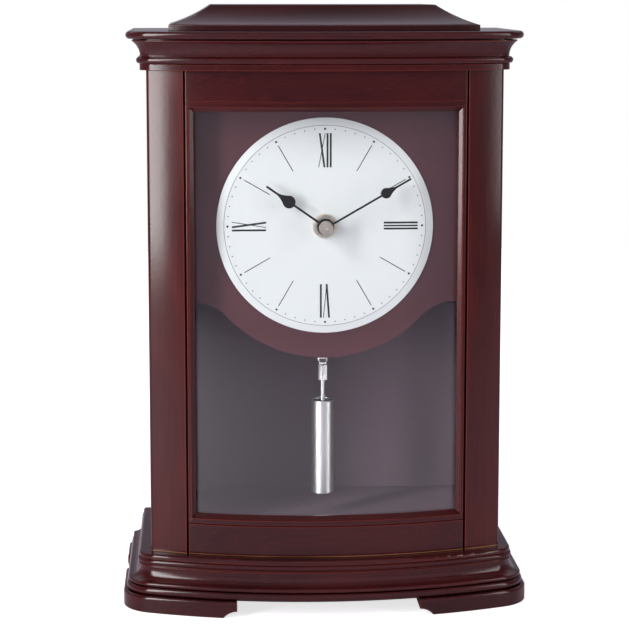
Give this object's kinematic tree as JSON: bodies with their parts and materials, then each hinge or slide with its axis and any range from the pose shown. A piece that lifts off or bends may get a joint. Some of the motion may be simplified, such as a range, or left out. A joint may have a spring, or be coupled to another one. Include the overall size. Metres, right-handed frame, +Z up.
{
  "type": "desk pendulum clock",
  "caption": "Bow-fronted wooden desk clock with a round dial, hands driven by motion work, a swinging pendulum behind bent glass and a hinged back door.",
  "frame": {"origin": "middle of the foot plane, under the centre of the case's outline", "axes": "+Z up, -Y towards the viewer of the dial, +X to the viewer's right"},
  "size_m": [0.2174, 0.1233, 0.32],
  "materials": {
    "case_wood": "satin dark cherry lacquer",
    "dial_board_veneer": "satin reddish brown veneer",
    "floor_lining": "satin dark veneer",
    "door_panel": "matt dark stained panel",
    "front_glass": "clear polished",
    "foot_felt": "felt",
    "screw_steel": "zinc plated",
    "dial_white": "satin white enamel",
    "washer_steel": "satin",
    "nut_steel": "brushed",
    "bushing_brass": "turned",
    "hand_black": "satin black",
    "cap_steel": "brushed",
    "arbor_steel": "turned",
    "gear_nylon": "moulded nylon",
    "movement_plastic": "moulded",
    "control_plastic": "moulded",
    "setting_knob_plastic": "moulded",
    "circuit_green": "solder mask",
    "coil_copper": "enamelled winding",
    "cell_jacket": "printed jacket",
    "contact_plate": "nickel plated",
    "pendulum_plastic": "moulded",
    "hook_metal": "satin",
    "adapter_metal": "polished",
    "rod_steel": "polished",
    "bob_chrome": "polished",
    "bob_plug_plastic": "moulded",
    "speaker_frame": "pressed steel",
    "speaker_paper": "paper cone",
    "hinge_brass": "satin",
    "door_knob_brass": "turned",
    "catch_plastic": "moulded",
    "strike_steel": "zinc plated"
  },
  "bodies": {
    "case": {"base_cove_moulding": "case_wood", "base_ledge_board": "case_wood", "batteries": "cell_jacket", "battery_contacts": "contact_plate", "board_screws": "screw_steel", "bottom_rail": "case_wood", "circuit_board": "circuit_green", "cornice_moulding": "case_wood", "cornice_top_board": "case_wood", "dial_board": "dial_board_veneer", "dial_nut": "nut_steel", "dial_plate": "dial_white", "dial_washer": "washer_steel", "door_magnet": "catch_plastic", "door_stops": "case_wood", "drive_coil": "coil_copper", "floor_board": "floor_lining", "foot_pads": "foot_felt", "front_glass": "front_glass", "front_left_foot": "case_wood", "front_right_foot": "case_wood", "glass_strips": "case_wood", "glazing_bead_bottom": "case_wood", "glazing_bead_left": "case_wood", "glazing_bead_right": "case_wood", "glazing_bead_top": "case_wood", "hand_bushing": "bushing_brass", "hinge_case_leaves": "hinge_brass", "left_front_post": "case_wood", "left_side_panel": "case_wood", "movement_front_case": "movement_plastic", "movement_rear_case": "movement_plastic", "plinth_board": "case_wood", "rear_left_foot": "case_wood", "rear_right_foot": "case_wood", "right_front_post": "case_wood", "right_side_panel": "case_wood", "roof_cap": "case_wood", "speaker_basket": "speaker_frame", "speaker_cone": "speaker_paper", "top_rail": "case_wood"},
    "minute_works": {"minute_arbor": "arbor_steel", "minute_hand": "hand_black", "centre_cap": "cap_steel", "time_setting_knob": "setting_knob_plastic"},
    "hour_works": {"hour_wheel": "gear_nylon", "hour_hand": "hand_black"},
    "motion_wheel": {"minute_wheel": "gear_nylon"},
    "pendulum": {"pendulum_hanger": "pendulum_plastic", "pendulum_hook": "hook_metal", "pendulum_adapter": "adapter_metal", "pendulum_rod": "rod_steel", "bob_tube": "bob_chrome", "bob_caps": "bob_plug_plastic"},
    "rear_door": {"back_door": "door_panel", "hinge_door_leaves": "hinge_brass", "back_door_knob": "door_knob_brass", "door_strike": "strike_steel"},
    "chime_switch": {"chime_selector": "control_plastic"},
    "volume_switch": {"volume_slider": "control_plastic"}
  },
  "joints": [
    {"name": "minute_turn", "type": "hinge", "parent": "case", "child": "minute_works", "pos_m": [0, 0, 0.2035], "axis": [0, 1, 0], "continuous": true},
    {"name": "hour_turn", "type": "hinge", "parent": "case", "child": "hour_works", "pos_m": [0, 0, 0.2035], "axis": [0, 1, 0], "continuous": true},
    {"name": "motion_wheel_turn", "type": "hinge", "parent": "case", "child": "motion_wheel", "pos_m": [0, 0, 0.2155], "axis": [0, 1, 0], "continuous": true},
    {"name": "pendulum_swing", "type": "hinge", "parent": "case", "child": "pendulum", "pos_m": [0, -0.00235, 0.156], "axis": [0, 1, 0], "range_deg": [-8, 8]},
    {"name": "rear_door_hinge", "type": "hinge", "parent": "case", "child": "rear_door", "pos_m": [-0.0832, 0.06015, 0.164], "axis": [0, 0, 1], "range_deg": [0, 110]},
    {"name": "chime_select", "type": "slide", "parent": "case", "child": "chime_switch", "axis": [1, 0, 0], "range_m": [-0.004, 0.004]},
    {"name": "volume_slide", "type": "slide", "parent": "case", "child": "volume_switch", "axis": [1, 0, 0], "range_m": [-0.006, 0.006]}
  ],
  "couplings": [
    {"joint": "hour_turn", "follows": "minute_turn", "ratio": 0.083333},
    {"joint": "motion_wheel_turn", "follows": "minute_turn", "ratio": -0.33333}
  ]
}
